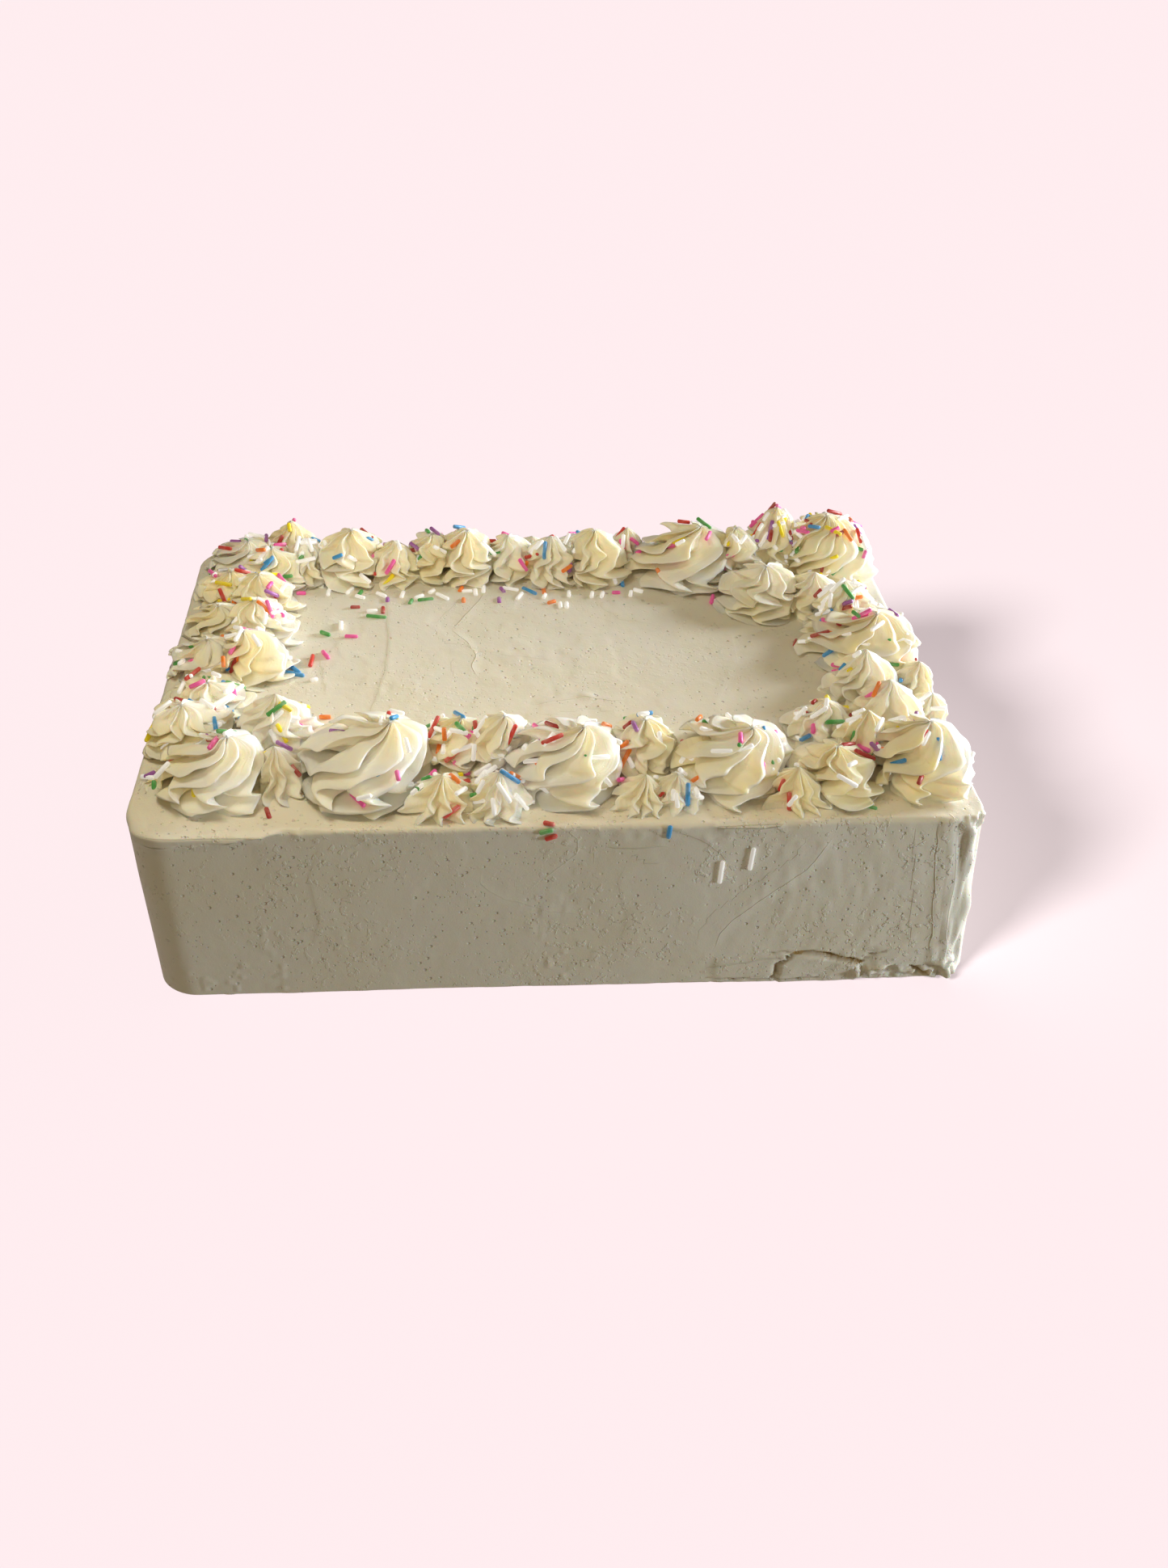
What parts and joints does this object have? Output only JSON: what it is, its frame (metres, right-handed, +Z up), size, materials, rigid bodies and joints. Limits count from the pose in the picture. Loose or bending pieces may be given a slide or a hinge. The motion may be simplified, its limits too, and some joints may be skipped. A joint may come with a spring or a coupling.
{
  "type": "sheet cake",
  "caption": "Uncut rectangular sheet cake with smooth white icing, a border of piped buttercream swirls round its top edge, and scattered rod sprinkles.",
  "frame": {"origin": "on the surface that the cake stands on, under the middle of the cake", "axes": "+X along the cake's long side, +Y from its front to its back, +Z up"},
  "size_m": [0.347, 0.2406, 0.1153],
  "materials": {
    "icing": "soft matt buttercream, spread smooth",
    "piping": "soft matt buttercream, piped in ridges"
  },
  "bodies": {
    "root": {"cake": "icing", "peak_back_1": "piping", "peak_back_2": "piping", "peak_back_3": "piping", "peak_back_4": "piping", "peak_back_5": "piping", "peak_back_6": "piping", "peak_front_1": "piping", "peak_front_2": "piping", "peak_left_1": "piping", "peak_right_1": "piping", "peak_right_2": "piping", "peak_right_3": "piping", "peak_right_4": "piping", "rosette_back_1": "piping", "rosette_back_2": "piping", "rosette_front_1": "piping", "rosette_front_2": "piping", "rosette_front_3": "piping", "rosette_front_4": "piping", "rosette_front_5": "piping", "rosette_left_1": "piping", "rosette_left_2": "piping", "rosette_left_3": "piping", "rosette_right_1": "piping", "rosette_right_2": "piping", "ruffle_back_1": "piping", "ruffle_back_2": "piping", "ruffle_back_3": "piping", "ruffle_back_4": "piping", "ruffle_back_5": "piping", "ruffle_front_1": "piping", "ruffle_front_2": "piping", "ruffle_front_3": "piping", "ruffle_front_4": "piping", "ruffle_left_1": "piping", "ruffle_left_2": "piping", "ruffle_left_3": "piping", "ruffle_left_4": "piping", "ruffle_left_5": "piping", "ruffle_left_6": "piping", "ruffle_right_1": "piping", "star_back_1": "piping", "star_back_2": "piping", "star_back_3": "piping", "star_front_1": "piping", "star_front_2": "piping", "star_front_3": "piping", "star_front_4": "piping", "star_front_5": "piping", "star_front_6": "piping", "star_left_1": "piping", "star_right_1": "piping", "star_right_2": "piping"}
  },
  "joints": []
}
